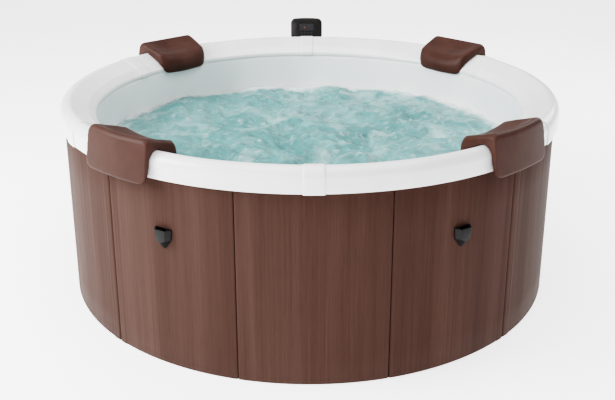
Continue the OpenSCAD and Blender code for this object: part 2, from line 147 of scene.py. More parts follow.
def split_normals(obj, angle=40):
    """Marks edges sharper than angle as sharp, so smooth shading stays clean."""
    limit = math.radians(angle)
    bm = bmesh.new()
    bm.from_mesh(obj.data)
    for e in bm.edges:
        if len(e.link_faces) == 2 and e.calc_face_angle(0) > limit:
            e.smooth = False
    bm.to_mesh(obj.data)
    bm.free()


# ---------------------------------------------------------------- materials
def material(name, color, rough=0.5, metal=0.0, coat=0.0, spec=0.5):
    m = bpy.data.materials.new(name)
    m.use_nodes = True
    b = m.node_tree.nodes["Principled BSDF"]
    b.inputs["Base Color"].default_value = (*color, 1)
    b.inputs["Roughness"].default_value = rough
    b.inputs["Metallic"].default_value = metal
    b.inputs["Coat Weight"].default_value = coat
    b.inputs["Coat Roughness"].default_value = 0.12
    b.inputs["Specular IOR Level"].default_value = spec
    return m


def tree(m):
    return m.node_tree.nodes, m.node_tree.links, m.node_tree.nodes["Principled BSDF"]


def scaled_coords(m, scale):
    nodes, links, _ = tree(m)
    tc = nodes.new("ShaderNodeTexCoord")
    mp = nodes.new("ShaderNodeMapping")
    mp.inputs["Scale"].default_value = scale
    links.new(tc.outputs["Object"], mp.inputs["Vector"])
    return mp.outputs["Vector"]


def noise_tex(m, vector, scale, detail=4.0, rough=0.5, distortion=0.0):
    nodes, links, _ = tree(m)
    n = nodes.new("ShaderNodeTexNoise")
    n.inputs["Scale"].default_value = scale
    n.inputs["Detail"].default_value = detail
    n.inputs["Roughness"].default_value = rough
    n.inputs["Distortion"].default_value = distortion
    links.new(vector, n.inputs["Vector"])
    return n.outputs["Fac"]


def ramp(m, fac, stops):
    nodes, links, _ = tree(m)
    r = nodes.new("ShaderNodeValToRGB")
    e = r.color_ramp.elements
    e[0].position, e[0].color = stops[0][0], (*stops[0][1], 1)
    e[1].position, e[1].color = stops[-1][0], (*stops[-1][1], 1)
    for pos, col in stops[1:-1]:
        x = e.new(pos)
        x.color = (*col, 1)
    links.new(fac, r.inputs["Fac"])
    return r.outputs["Color"]


def mix(m, a, b, fac, mode="MIX"):
    nodes, links, _ = tree(m)
    x = nodes.new("ShaderNodeMix")
    x.data_type = "RGBA"
    x.blend_type = mode
    for sock, val in (("Factor", fac), ("A", a), ("B", b)):
        target = [s for s in x.inputs if s.name == sock and s.enabled][0]
        if isinstance(val, (int, float)):
            target.default_value = val
        elif isinstance(val, tuple):
            target.default_value = (*val, 1)
        else:
            links.new(val, target)
    return [s for s in x.outputs if s.enabled][0]


def bump(m, height, strength, distance=0.002, base=None):
    nodes, links, bsdf = tree(m)
    b = nodes.new("ShaderNodeBump")
    b.inputs["Strength"].default_value = strength
    b.inputs["Distance"].default_value = distance
    links.new(height, b.inputs["Height"])
    if base is not None:
        links.new(base, b.inputs["Normal"])
    links.new(b.outputs["Normal"], bsdf.inputs["Normal"])
    return b.outputs["Normal"]


def put(m, socket, out):
    _, links, bsdf = tree(m)
    links.new(out, bsdf.inputs[socket])


def wood_material():
    m = material("panel_wood_grain", (0.05, 0.02, 0.013), rough=0.55, coat=0.0, spec=0.04)
    wide = noise_tex(m, scaled_coords(m, (1, 1, 0.04)), 9.0, 3.0, 0.55, 0.3)
    fine = noise_tex(m, scaled_coords(m, (1, 1, 0.012)), 120.0, 5.0, 0.6, 0.4)
    pores = noise_tex(m, scaled_coords(m, (1, 1, 0.03)), 420.0, 2.0, 0.7, 0.0)
    tone = ramp(m, wide, [(0.30, (0.056, 0.0300, 0.0235)), (0.5, (0.066, 0.0360, 0.0285)),
                          (0.70, (0.080, 0.0450, 0.0365))])
    grain = ramp(m, fine, [(0.34, (0.82, 0.80, 0.80)), (0.62, (1.05, 1.05, 1.05))])
    c = mix(m, tone, grain, 0.55, "MULTIPLY")
    dots = ramp(m, pores, [(0.36, (0.62, 0.60, 0.60)), (0.5, (1, 1, 1))])
    put(m, "Base Color", mix(m, c, dots, 0.25, "MULTIPLY"))
    put(m, "Roughness", ramp(m, fine, [(0.3, (0.56,) * 3), (0.7, (0.44,) * 3)]))
    n1 = bump(m, fine, 0.22, 0.0012)
    bump(m, wide, 0.30, 0.006, base=n1)
    return m


def rim_material():
    m = material("rim_gloss_white", (0.86, 0.86, 0.86), rough=0.28, coat=0.35, spec=0.5)
    soft = noise_tex(m, scaled_coords(m, (1, 1, 1)), 7.0, 2.0)
    grain = noise_tex(m, scaled_coords(m, (1, 1, 1)), 500.0, 2.0)
    put(m, "Base Color", ramp(m, soft, [(0.3, (0.715, 0.705, 0.705)), (0.7, (0.775, 0.767, 0.767))]))
    n1 = bump(m, soft, 0.35, 0.008)
    bump(m, grain, 0.08, 0.0006, base=n1)
    return m


def liner_material():
    m = material("liner_vinyl", (0.78, 0.79, 0.79), rough=0.36, coat=0.1)
    soft = noise_tex(m, scaled_coords(m, (1, 1, 0.6)), 5.0, 2.0)
    grain = noise_tex(m, scaled_coords(m, (1, 1, 1)), 700.0, 2.0)
    put(m, "Base Color", ramp(m, soft, [(0.3, (0.755, 0.765, 0.768)), (0.7, (0.83, 0.835, 0.835))]))
    n1 = bump(m, soft, 0.25, 0.010)
    bump(m, grain, 0.12, 0.0006, base=n1)
    return m


def headrest_material():
    m = material("headrest_skin", (0.055, 0.025, 0.018), rough=0.36, coat=0.0, spec=0.12)
    cells = m.node_tree.nodes.new("ShaderNodeTexVoronoi")
    cells.inputs["Scale"].default_value = 520.0
    m.node_tree.links.new(scaled_coords(m, (1, 1, 1)), cells.inputs["Vector"])
    soft = noise_tex(m, scaled_coords(m, (1, 1, 1)), 14.0, 3.0)
    put(m, "Base Color", ramp(m, soft, [(0.3, (0.049, 0.0225, 0.0170)), (0.7, (0.064, 0.0305, 0.0235))]))
    put(m, "Roughness", ramp(m, soft, [(0.3, (0.34,) * 3), (0.7, (0.44,) * 3)]))
    n1 = bump(m, cells.outputs["Distance"], 0.16, 0.0007)
    bump(m, soft, 0.25, 0.004, base=n1)
    return m


def plastic(name, color, rough=0.45, scale=600.0, strength=0.15, spec=0.5, coat=0.0, vary=0.12):
    m = material(name, color, rough=rough, coat=coat, spec=spec)
    soft = noise_tex(m, scaled_coords(m, (1, 1, 1)), 22.0, 3.0)
    low = tuple(c * (1 - vary) for c in color)
    high = tuple(min(1, c * (1 + vary)) for c in color)
    put(m, "Base Color", ramp(m, soft, [(0.3, low), (0.7, high)]))
    bump(m, noise_tex(m, scaled_coords(m, (1, 1, 1)), scale, 2.0), strength, 0.0006)
    return m


def metal(name, color, rough=0.35, stretch=(1, 1, 0.04)):
    m = material(name, color, rough=rough, metal=1.0)
    lines = noise_tex(m, scaled_coords(m, stretch), 380.0, 3.0)
    put(m, "Roughness", ramp(m, lines, [(0.3, (rough * 0.8,) * 3), (0.7, (min(1, rough * 1.3),) * 3)]))
    bump(m, lines, 0.12, 0.0004)
    return m


WOOD = wood_material()
RIM = rim_material()
LINER = liner_material()
SKIN = headrest_material()
BLACK = plastic("socket_black", (0.006, 0.006, 0.006), rough=0.5, spec=0.1)
# a lighter copy of the socket black for the faces that catch the light: painted highlight
PAINTED_HIGHLIGHT_GREY = plastic("socket_painted_highlight_grey", (0.012, 0.012, 0.012), rough=0.45, spec=0.2)
DARK = plastic("dark_plastic", (0.024, 0.025, 0.028), rough=0.5)
CASING = plastic("casing_grey", (0.060, 0.063, 0.070), rough=0.46, strength=0.3)
FITTING = plastic("white_fitting", (0.74, 0.755, 0.765), rough=0.3, vary=0.05)
RUBBER = plastic("hose_rubber", (0.018, 0.019, 0.020), rough=0.62)
FOAM = plastic("core_foam", (0.020, 0.014, 0.012), rough=0.9, scale=260.0, strength=0.6, spec=0.05)
MAT = plastic("mat_foam", (0.06, 0.07, 0.085), rough=0.9, scale=260.0, strength=0.6)
PAPER = plastic("filter_paper", (0.78, 0.80, 0.82), rough=0.85, scale=300.0, strength=0.4, vary=0.04)
BOARD = plastic("circuit_green", (0.025, 0.12, 0.055), rough=0.4)
STEEL = metal("brushed_steel", (0.62, 0.63, 0.65))
MOTOR = metal("cast_motor", (0.22, 0.23, 0.25), rough=0.5, stretch=(1, 1, 1))
HEAD_GLOSS = plastic("display_black", (0.0105, 0.0095, 0.0090), rough=0.28, coat=0.05, strength=0.03,
                     spec=0.3)
BUTTON = plastic("button_grey", (0.022, 0.022, 0.024), rough=0.4, spec=0.3)


def glass_material():
    m = material("display_lcd", (0.045, 0.050, 0.049), rough=0.2, coat=0.2)
    tint = noise_tex(m, scaled_coords(m, (1, 1, 1)), 30.0, 2.0)
    put(m, "Base Color", ramp(m, tint, [(0.3, (0.016, 0.016, 0.018)), (0.7, (0.022, 0.022, 0.024))]))
    return m


LCD = glass_material()

# ---------------------------------------------------------------- wall panels
PANELS = 12
STEP = 2 * math.pi / PANELS
SEAM = 0.0024
BAND_W = 0.0345
PANEL_IN = WALL_R - 0.005
SHOWN_AS_CAD = (6, 7)  # the two panels pierced by the connections at the back


def panel(i):
    """A curved facing panel with rolled vertical edges; every third seam has a flat band on both sides."""
    mid = (i - 1) * STEP
    half = STEP / 2 - SEAM / 2 / WALL_R
    width = 2 * half * WALL_R
    right_band = i in (2, 5, 8, 11)
    left_band = i in (3, 6, 9, 12)
    near_edge = [0.0008, 0.002, 0.004, 0.007, 0.012, 0.02, 0.028, 0.031, 0.034, 0.038]
    xs = sorted(set([0] + near_edge + [width * k / 40 for k in range(41)] + [width - d for d in near_edge]))
    xs = [x for x in xs if 0 <= x <= width]

    def relief(x):
        d = min(x, width - x)
        drop = 0.0026 * math.exp(-d / 0.0028)
        near = left_band if x < width / 2 else right_band
        if near and d < BAND_W:
            rise = 0.0016 * min(1, d / 0.003) * min(1, (BAND_W - d) / 0.004)
            drop -= rise
        return -drop

    outer = [(WALL_R - 0.0004 + relief(x), mid - half + x / WALL_R) for x in xs]
    inner = [(PANEL_IN, a) for r, a in reversed(outer)]
    loop = outer + inner
    levels = [0.0006, 0.002, 0.10, 0.30, 0.50, WALL_H - 0.0015, WALL_H]
    rings = []
    for k, z in enumerate(levels):
        pull = 0.0012 if k in (0, len(levels) - 1) else 0
        rings.append([polar(max(PANEL_IN, r - (pull if r > PANEL_IN else 0)), a, z) for r, a in loop])
    verts, faces = ringed(rings)
    obj = make(f"panel_{i}", verts, faces, WOOD)
    split_normals(obj, 50)
    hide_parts(f"wall_panel_{i}")


for i in range(1, PANELS + 1):
    if i not in SHOWN_AS_CAD:
        panel(i)

# ---------------------------------------------------------------- rim and its joint sleeves
SHOULDER = 0.033
CREST = (RIM_R - SHOULDER, TUB_H)
ROUND = 0.024
EDGE = 0.012
SLOPE_DEG = 27
SLOPE = math.radians(SLOPE_DEG)
RUN = 0.063
LIP_DEG = 40
LIP_R = IN_R - 0.0035


def rim_face(g):
    """The visible section of the rim from its outer lower edge to its inner lip, standing off by g."""
    start = (CREST[0] - ROUND * math.sin(SLOPE), TUB_H - ROUND + ROUND * math.cos(SLOPE))
    end = (start[0] - RUN * math.cos(SLOPE), start[1] - RUN * math.sin(SLOPE))
    c = (end[0] + EDGE * math.sin(SLOPE), end[1] - EDGE * math.cos(SLOPE))
    lip = math.radians(LIP_DEG)
    lip_top = (c[0] - (EDGE + g) * math.sin(lip), c[1] + (EDGE + g) * math.cos(lip))
    bottom = RIM_BOTTOM + 0.010
    edge_r = LIP_R - g
    corner_z = lip_top[1] - (lip_top[0] - edge_r) * math.tan(lip)
    pts = [(RIM_R + g - 0.003, RIM_BOTTOM), (RIM_R + g - 0.0008, RIM_BOTTOM + 0.001),
           (RIM_R + g, RIM_BOTTOM + 0.004), (RIM_R + g, RIM_BOTTOM + 0.025)]
    pts += arc((CREST[0], TUB_H - SHOULDER), SHOULDER + g, 0, 90, 18)
    pts += arc((CREST[0], TUB_H - ROUND), ROUND + g, 90 + 4, 90 + SLOPE_DEG, 6)
    n = (-math.sin(SLOPE), math.cos(SLOPE))
    for k in range(1, 6):
        t = k / 6
        pts.append((start[0] + (end[0] - start[0]) * t + g * n[0],
                    start[1] + (end[1] - start[1]) * t + g * n[1]))
    pts += arc(c, EDGE + g, 90 + SLOPE_DEG, 90 + LIP_DEG, 8)
    pts += [((lip_top[0] + edge_r) / 2, (lip_top[1] + corner_z) / 2), (edge_r + 0.0040, corner_z + 0.0034),
            (edge_r + 0.0014, corner_z + 0.0006), (edge_r, corner_z - 0.0030), (edge_r, bottom + 0.002),
            (edge_r + 0.0006, bottom)]
    return pts


def lip_point(g, z):
    """Radius of the rim's inner lip at height z, standing off by g."""
    face = rim_face(g)
    a, b = face[-4], face[-6]
    if z <= a[1]:
        return LIP_R - g
    return a[0] + (b[0] - a[0]) * (z - a[1]) / (b[1] - a[1])


def sweep(name, section, a0, a1, steps, mat, wave):
    """A section carried round the tub from a0 to a1, with a slight unevenness above its lower edge."""
    rings = []
    for k in range(steps + 1):
        a = a0 + (a1 - a0) * k / steps
        ring = []
        for r, z in section:
            p = polar(r, a, z)
            if z > RIM_BOTTOM + 0.006:
                d = noise.noise(p * 5.0) * wave
                p = polar(r + d * 0.4, a, z + d)
            ring.append(p)
        rings.append(ring)
    verts, faces = ringed(rings)
    return make(name, verts, faces, mat)


for i in range(1, 7):
    a0, a1 = math.radians(60 * (i - 1) + 0.08), math.radians(60 * i - 0.08)
    inner = [(IN_R - 0.0006, RIM_BOTTOM + 0.0065), (IN_R - 0.0006, SEAT_Z), (WALL_R + 0.0006, SEAT_Z),
             (WALL_R + 0.0006, RIM_BOTTOM)]
    obj = sweep(f"rim_{i}", rim_face(0) + inner, a0, a1, 66, RIM, wave=0.0016)
    split_normals(obj, 50)
    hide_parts(f"rim_segment_{i}")

SLEEVE_W = 0.065
SLEEVE_HALF = SLEEVE_W / 2 / RIM_R
SLEEVE_STEPS = 26
for i in range(6):
    mid = math.radians(60 * i)
    rings = []
    for k in range(SLEEVE_STEPS + 1):
        u = -1 + 2 * k / SLEEVE_STEPS
        edge = 1 - abs(u)
        lift = SLEEVE_OUT * (0.45 + 0.55 * min(1, edge / 0.10)) if edge < 0.10 else SLEEVE_OUT
        a = mid + u * SLEEVE_HALF
        face = rim_face(lift)
        back = list(reversed(rim_face(0.0006)))
        rings.append([polar(r, a, z - (0.002 if j < 2 else 0)) for j, (r, z) in enumerate(face + back)])
    verts, faces = ringed(rings)
    obj = make(f"sleeve_{i + 1}", verts, faces, RIM)
    split_normals(obj, 50)
    if i == 0:
        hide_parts("rim_sleeves")

# ---------------------------------------------------------------- liner
LINER_OUT = IN_R + 0.0028


def liner_piece():
    """The liner's wall, its fillet and a floor pressed in a pattern of small pads."""
    bottom = FLOOR_Z + 0.0028
    fillet = 0.030
    pts = [(0.0001, bottom)]
    n = 44
    for k in range(1, n + 1):
        r = (IN_R - fillet) * k / n
        pts.append((r, bottom))
    pts += [(IN_R - fillet + fillet * math.sin(t), bottom + fillet - fillet * math.cos(t))
            for t in [math.radians(a) for a in range(9, 91, 9)]]
    for k in range(1, 21):
        pts.append((IN_R, bottom + fillet + (SEAT_Z - 0.0016 - bottom - fillet) * k / 20))
    pts += [(IN_R + 0.0015, SEAT_Z - 0.0006), (LINER_R - 0.0005, SEAT_Z - 0.0006),
            (LINER_R - 0.0005, SEAT_Z - 0.0026), (LINER_OUT, SEAT_Z - 0.0026),
            (LINER_OUT, FLOOR_Z), (0.0001, FLOOR_Z)]
    steps = 240
    rings = []
    for k in range(steps):
        a = 2 * math.pi * k / steps
        ring = []
        for j, (r, z) in enumerate(pts):
            dz = 0.0
            if 0.05 < r < IN_R - fillet * 1.2 and abs(z - bottom) < 1e-6:
                rows = 0.5 + 0.5 * math.cos(2 * math.pi * r / 0.085)
                spokes = abs(math.sin(a * 12))
                dz = 0.0016 * rows ** 0.4 * min(1, spokes * 2.5)
            ring.append(polar(r, a, z + dz))
        rings.append(ring)
    m = len(pts)
    verts = [p for ring in rings for p in ring]
    faces = []
    for k in range(steps):
        k2 = (k + 1) % steps
        for j in range(m - 1):
            faces.append((k * m + j, k2 * m + j, k2 * m + j + 1, k * m + j + 1))
    faces.append(tuple(k * m for k in range(steps)))
    faces.append(tuple(k * m + m - 1 for k in range(steps)))
    obj = make("tub_liner", verts, faces, LINER)
    split_normals(obj, 60)
    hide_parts("liner")


liner_piece()


# ---------------------------------------------------------------- headrests
def centre_azimuth(low, high):
    x, y = (low[0] + high[0]) / 2, (low[1] + high[1]) / 2
    return math.atan2(x, -y)


def smooth_step(x):
    x = max(0.0, min(1.0, x))
    return x * x * (3 - 2 * x)


HEADREST_W = 0.280
HEAD_HALF = HEADREST_W / (RIM_R + 0.020) / 2


def corner(d, r):
    """How far a rounded corner of radius r cuts in, at distance d from the end."""
    return r - math.sqrt(max(0.0, r * r - (r - d) ** 2)) if d < r else 0.0


def headrest(i):
    """A saddle over the rim: a flaring skirt, a top scooped in the middle and a roll hanging inside."""
    az = centre_azimuth(*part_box(f"headrest_{i}"))
    gap = 0.0020
    over = [p for p in rim_face(gap)[:-6] if p[1] > TUB_H - SHOULDER - 0.0001]
    foot = RIM_BOTTOM - 0.017
    half = HEAD_HALF * 0.86 * RIM_R
    fine = [0, 0.001, 0.003, 0.006, 0.010, 0.015, 0.021, 0.028, 0.036, 0.045]
    stations = [-half + d for d in fine] + [half * t for t in (-0.5, -0.33, -0.16, 0, 0.16, 0.33, 0.5)]
    stations += [half - d for d in reversed(fine)]
    rings = []
    for x in stations:
        d = half - abs(x)
        u = abs(x) / half
        end = corner(d, 0.032) / 0.032
        z0 = foot + corner(d, 0.026)
        crown = TUB_H + 0.041 + 0.003 * u * u - corner(d, 0.018)
        scoop = 1 - u * u

        def face_r(z):
            return RIM_R + 0.030 - 0.143 * (z - foot)

        top_z = crown - 0.016
        loop = [(face_r(z0) - 0.006, z0), (face_r(z0) - 0.0015, z0 + 0.002), (face_r(z0 + 0.006), z0 + 0.006)]
        loop += [(face_r(z0 + (top_z - z0) * t), z0 + (top_z - z0) * t) for t in (0.2, 0.4, 0.6, 0.8)]
        loop += arc((face_r(top_z) - 0.0182, crown - 0.018), 0.018, 8, 96, 7)
        loop += [(RIM_R - 0.025, crown - 0.003 - 0.012 * scoop),
                 (RIM_R - 0.050, crown - 0.010 - 0.021 * scoop),
                 (RIM_R - 0.078, crown - 0.018 - 0.021 * scoop)]
        shelf = (RIM_R - 0.102, crown - 0.028 - 0.014 * scoop)
        loop.append(shelf)
        roll_in = LIP_R - 0.0265 + 0.018 * u * u + 0.014 * end
        waist = RIM_BOTTOM + 0.026 + 0.020 * end
        low_z = RIM_BOTTOM - 0.006 + 0.008 * u * u + 0.032 * end
        base_r = LIP_R - 0.0075 + 0.0130 * end
        for t in (22, 40, 56, 70, 80, 90):
            t = math.radians(t)
            loop.append((shelf[0] - (shelf[0] - roll_in) * math.sin(t),
                         waist + (shelf[1] - waist) * math.cos(t)))
        for t in (20, 42, 66, 90):
            t = math.radians(t)
            loop.append((base_r - (base_r - roll_in) * math.cos(t), waist - (waist - low_z) * math.sin(t)))
        for z in (max(RIM_BOTTOM + 0.008, low_z + 0.002), max(RIM_BOTTOM + 0.024, low_z + 0.004)):
            loop.append((lip_point(gap, z), z))
        loop += list(reversed(over))
        inner_r = RIM_R + 0.0135
        loop += [(RIM_R + gap + (inner_r - RIM_R - gap) * 0.5, (TUB_H - SHOULDER + z0) / 2),
                 (inner_r, z0 + 0.003)]
        rings.append([polar(r, az + x / half * HEAD_HALF, z) for r, z in loop])
    verts, faces = ringed(rings)
    obj = make(f"headrest_pad_{i}", verts, faces, SKIN, body=None)
    r = obj.modifiers.new("remesh", "REMESH")
    r.mode = "VOXEL"
    r.voxel_size = 0.0030
    r.use_smooth_shade = True
    s = obj.modifiers.new("smooth", "SMOOTH")
    s.factor = 0.6
    s.iterations = 6
    baked(obj)
    d = obj.modifiers.new("thin", "DECIMATE")
    d.ratio = 0.45
    baked(obj)
    for p in obj.data.polygons:
        p.use_smooth = True
    obj.data.materials.clear()
    obj.data.materials.append(SKIN)
    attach(obj, f"headrest_{i}")
    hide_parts(f"headrest_{i}")


for i in range(1, 5):
    headrest(i)

# ---------------------------------------------------------------- cover sockets
SOCKET_Z = 0.412
SOCKET_W = 0.062
SOCKET_H = 0.066
SOCKET_OUT = 0.022


def box_at(a, r0, r1, x0, x1, z0, z1):
    """Corners of a box in the frame of azimuth a: r outwards, x along the wall."""
    out = Vector((math.sin(a), -math.cos(a), 0))
    side = Vector((math.cos(a), math.sin(a), 0))
    return [out * r + side * x + Vector((0, 0, z))
            for z in (z0, z1) for r, x in ((r0, x0), (r1, x0), (r1, x1), (r0, x1))]


BOX_FACES = [(0, 3, 2, 1), (4, 5, 6, 7), (0, 1, 5, 4), (1, 2, 6, 5), (2, 3, 7, 6), (3, 0, 4, 7)]


def cut(obj, verts, faces):
    """Cuts the closed form of verts and faces out of obj."""
    tool = make("cutter", verts, faces, None, body=None, smooth=False)
    m = obj.modifiers.new("cut", "BOOLEAN")
    m.operation = "DIFFERENCE"
    m.solver = "EXACT"
    m.object = tool
    baked(obj)
    bpy.data.objects.remove(tool)


def socket(i, a_deg):
    """A strap socket: a shield that narrows outwards and downwards, with a slot for the buckle's tongue."""
    a = math.radians(a_deg)
    out = Vector((math.sin(a), -math.cos(a), 0))
    side = Vector((math.cos(a), math.sin(a), 0))

    def layer(r, k, low):
        half = SOCKET_W / 2 * k
        waist = max(SOCKET_H * 0.45, low + 0.008)
        tip = 0.005 * k
        pts = [(-half, SOCKET_H), (-0.9 * half, waist), (-tip, low),
               (tip, low), (0.9 * half, waist), (half, SOCKET_H)]
        return [out * r + side * x + Vector((0, 0, SOCKET_Z + z)) for x, z in pts]

    rings = [layer(WALL_R + 0.0004, 1, 0), layer(WALL_R + 0.0035, 1, 0),
             layer(WALL_R + SOCKET_OUT, 0.62, 0.024)]
    verts, faces = ringed(rings)
    obj = make(f"cover_socket_{i}", verts, faces, BLACK, body=None, smooth=False)
    v = box_at(a, WALL_R + 0.004, WALL_R + 0.0145, -0.0185, 0.0185, SOCKET_Z + 0.030, SOCKET_Z + 0.08)
    cut(obj, v, BOX_FACES)
    obj.data.materials.clear()
    obj.data.materials.append(BLACK)
    obj.data.materials.append(PAINTED_HIGHLIGHT_GREY)
    # painted highlight: faces turned outward and not down take the lighter grey copy of the black plastic
    for p in obj.data.polygons:
        p.material_index = 1 if (p.normal.dot(out) > 0.5 and p.normal.z > -0.2) else 0
    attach(obj, "tub")
    bevel(obj, 0.0011, 2, 25)
    baked(obj)
    for p in obj.data.polygons:
        p.use_smooth = True
    split_normals(obj, 38)
    if i == 1:
        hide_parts("cover_sockets")
    top = SOCKET_Z + SOCKET_H
    lip_v, lip_f = [], []
    for k, x in enumerate((-0.0225, 0.0195)):
        lip_f += [tuple(j + 8 * k for j in f) for f in BOX_FACES]
        lip_v += box_at(a, WALL_R + 0.0042, WALL_R + 0.0140, x, x + 0.003, top - 0.001, top + 0.0025)
    # the lips take the same painted-highlight grey all over
    lip = make(f"cover_socket_lip_{i}", lip_v, lip_f, PAINTED_HIGHLIGHT_GREY)
    bevel(lip, 0.0008, 2)
    baked(lip)


for i, a_deg in enumerate((-30, 30, -150, 150), 1):
    socket(i, a_deg)

# ---------------------------------------------------------------- filter cartridge with pleats
f_low, f_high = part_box("filter_cartridge")
fc = Vector(((f_low[0] + f_high[0]) / 2, 0, (f_low[2] + f_high[2]) / 2))
PLEAT_POINTS = 192
PLEAT_TOP, PLEAT_ROOT = 0.0495, 0.0400
END_POINTS = 96
END_THICK = 0.008
BORE_R = 0.0224


def filter_ring(y, radii):
    """A ring round the filter's axis at y, one point to each radius."""
    turn = 2 * math.pi / len(radii)
    return [Vector((fc[0] + r * math.cos(turn * k), y, fc[2] + r * math.sin(turn * k)))
            for k, r in enumerate(radii)]


def bored(name, rings, mat, smooth):
    """A part of the filter, with the bore that the suction fitting's spigot stands in."""
    obj = make(name, *ringed(rings), mat, body=None, smooth=smooth)
    cut(obj, *ringed([filter_ring(y, [BORE_R] * END_POINTS) for y in (f_low[1] + 0.006, f_high[1] + 0.004)]))
    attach(obj, "filter")
    return obj


def filter_piece():
    """The pleated paper between its two end caps."""
    fold = [PLEAT_TOP if (k // 2) % 2 == 0 else PLEAT_ROOT for k in range(PLEAT_POINTS)]
    rings = [filter_ring(y, fold) for y in (f_low[1] + 0.0078, f_high[1] - 0.0078)]
    obj = bored("filter_pleats", rings, PAPER, False)
    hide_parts("filter_cartridge")
    for name, y0, y1 in (("filter_end_a", f_low[1], f_low[1] + END_THICK),
                         ("filter_end_b", f_high[1] - END_THICK, f_high[1])):
        sizes = ((y0, 0.051), (y0 + 0.002, 0.053), (y1 - 0.002, 0.053), (y1, 0.051))
        end = bored(name, [filter_ring(y, [r] * END_POINTS) for y, r in sizes], FITTING, True)
        split_normals(end, 50)


filter_piece()

# ---------------------------------------------------------------- CAD nodes that keep their own shape
looks = {
    "core_boards": FOAM, "floor_mat": MAT, "bubble_ring": FITTING, "suction_fitting": FITTING,
    "return_fitting": FITTING, "air_fitting": FITTING, "fitting_nuts": FITTING, "union_nut_suction": DARK,
    "union_nut_return": DARK, "filter_cap": FITTING, "drain_valve": FITTING, "drain_cap": DARK,
    "unit_base": DARK, "unit_shell": CASING, "service_door": CASING, "display_window": LCD,
    "pump_volute": DARK, "pump_motor": MOTOR, "pump_impeller": FITTING, "heater": STEEL, "pump_hose": RUBBER,
    "return_hose": RUBBER, "mounting_plate": STEEL, "blower_housing": DARK, "blower_fan": FITTING,
    "air_hose": RUBBER, "control_box": DARK, "control_board": BOARD, "power_gland": BLACK,
    "wall_panel_6": WOOD, "wall_panel_7": WOOD,
}
edges = {
    "union_nut_suction": 0.0015, "union_nut_return": 0.0015, "filter_cap": 0.0018, "drain_cap": 0.0012,
    "fitting_nuts": 0.0012, "suction_fitting": 0.001, "return_fitting": 0.001, "drain_valve": 0.001,
    "unit_base": 0.003, "unit_shell": 0.0012, "service_door": 0.0010,
    "power_gland": 0.0012, "wall_panel_6": 0.0010, "wall_panel_7": 0.0010,
}
for i in range(1, 5):
    looks[f"button_{i}"] = BUTTON
    edges[f"button_{i}"] = 0.0012
for name, mat in looks.items():
    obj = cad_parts[name]
    obj.data.materials.clear()
    obj.data.materials.append(mat)
    if name in edges:
        bevel(obj, edges[name], 2, 40)

# ---------------------------------------------------------------- pump unit: lid, vents, screws, LED
u_low, u_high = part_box("unit_base")
ux = (u_high[0] - u_low[0]) / 2
uy0, uy1 = u_low[1], u_high[1]
uyc = (uy0 + uy1) / 2
uyh = (uy1 - uy0) / 2
UNIT_TOP = 0.600


def rounded_loop(hx, hy, r, n=10):
    pts = []
    for cx, cy, a0 in ((hx - r, hy - r, 0), (-hx + r, hy - r, 90),
                       (-hx + r, -hy + r, 180), (hx - r, -hy + r, 270)):
        pts += arc((cx, cy), r, a0, a0 + 90, n)
    return pts


def lid():
    """A lid with a soft top edge, seated over the casing's top."""
    rings = []
    fil = 0.016
    for z, g in ((UNIT_TOP - 0.042, 0.0004), (UNIT_TOP - 0.041, 0.0022), (UNIT_TOP - 0.014, 0.0024)):
        rings.append([Vector((x, uyc + y, z)) for x, y in rounded_loop(ux + g, uyh + g, 0.035 + g)])
    for k in range(1, 9):
        t = math.radians(90 * k / 8)
        g = 0.0024 - fil * (1 - math.cos(t))
        z = UNIT_TOP - 0.0135 + fil * math.sin(t)
        rings.append([Vector((x, uyc + y, z)) for x, y in rounded_loop(ux + g, uyh + g, 0.035 + g)])
    verts, faces = ringed(rings)
    obj = make("casing_lid", verts, faces, CASING)
    split_normals(obj, 60)


lid()


def boxes(name, corners, mat, edge):
    """One piece of soft-edged boxes, each given by its low and high corner."""
    v, f = [], []
    for k, ((x0, y0, z0), (x1, y1, z1)) in enumerate(corners):
        v += [Vector((x, y, z)) for z in (z0, z1) for x, y in ((x0, y0), (x1, y0), (x1, y1), (x0, y1))]
        f += [tuple(j + 8 * k for j in q) for q in BOX_FACES]
    obj = make(name, v, f, mat)
    bevel(obj, edge, 2)
    baked(obj)
    split_normals(obj, 50)


for side, name in ((1, "vent_right"), (-1, "vent_left")):
    slats = []
    for k in range(9):
        z = 0.250 + 0.022 * k
        x0, x1 = sorted((side * (ux - 0.001), side * (ux + 0.0045)))
        slats.append(((x0, uyc - 0.070, z), (x1, uyc + 0.070, z + 0.007)))
    boxes(name, slats, CASING, 0.0022)

# ---------------------------------------------------------------- display head on its post
TILT = math.radians(14)
HEAD = Vector((0, RIM_R + 0.043, TUB_H + 0.031))
HEAD_UP = Vector((0, math.sin(TILT), math.cos(TILT)))
HEAD_OUT = Vector((0, -math.cos(TILT), math.sin(TILT)))


def on_display(x, y, z):
    return HEAD + Vector((x, 0, 0)) + HEAD_UP * y + HEAD_OUT * z


HEAD_CORNER = 0.024
HEAD_ARCH = 0.002


def head_outline(inset):
    """The head's face: wide round corners and a slight arch on top, small corners below."""
    hx, hy = 0.075 - inset, 0.045 - inset
    pts = []
    top = hy - HEAD_ARCH - HEAD_CORNER
    span = hx - HEAD_CORNER
    for cx, cy, r, a0 in ((span, top, HEAD_CORNER, 0), (-span, top, HEAD_CORNER, 90),
                          (-hx + 0.005, -hy + 0.005, 0.005, 180), (hx - 0.005, -hy + 0.005, 0.005, 270)):
        pts += arc((cx, cy), r, a0, a0 + 90, 8)
        if a0 == 0:
            pts += [(span * t, hy - HEAD_ARCH + HEAD_ARCH * (1 - t * t))
                    for t in (0.8, 0.6, 0.4, 0.2, 0, -0.2, -0.4, -0.6, -0.8)]
    return pts


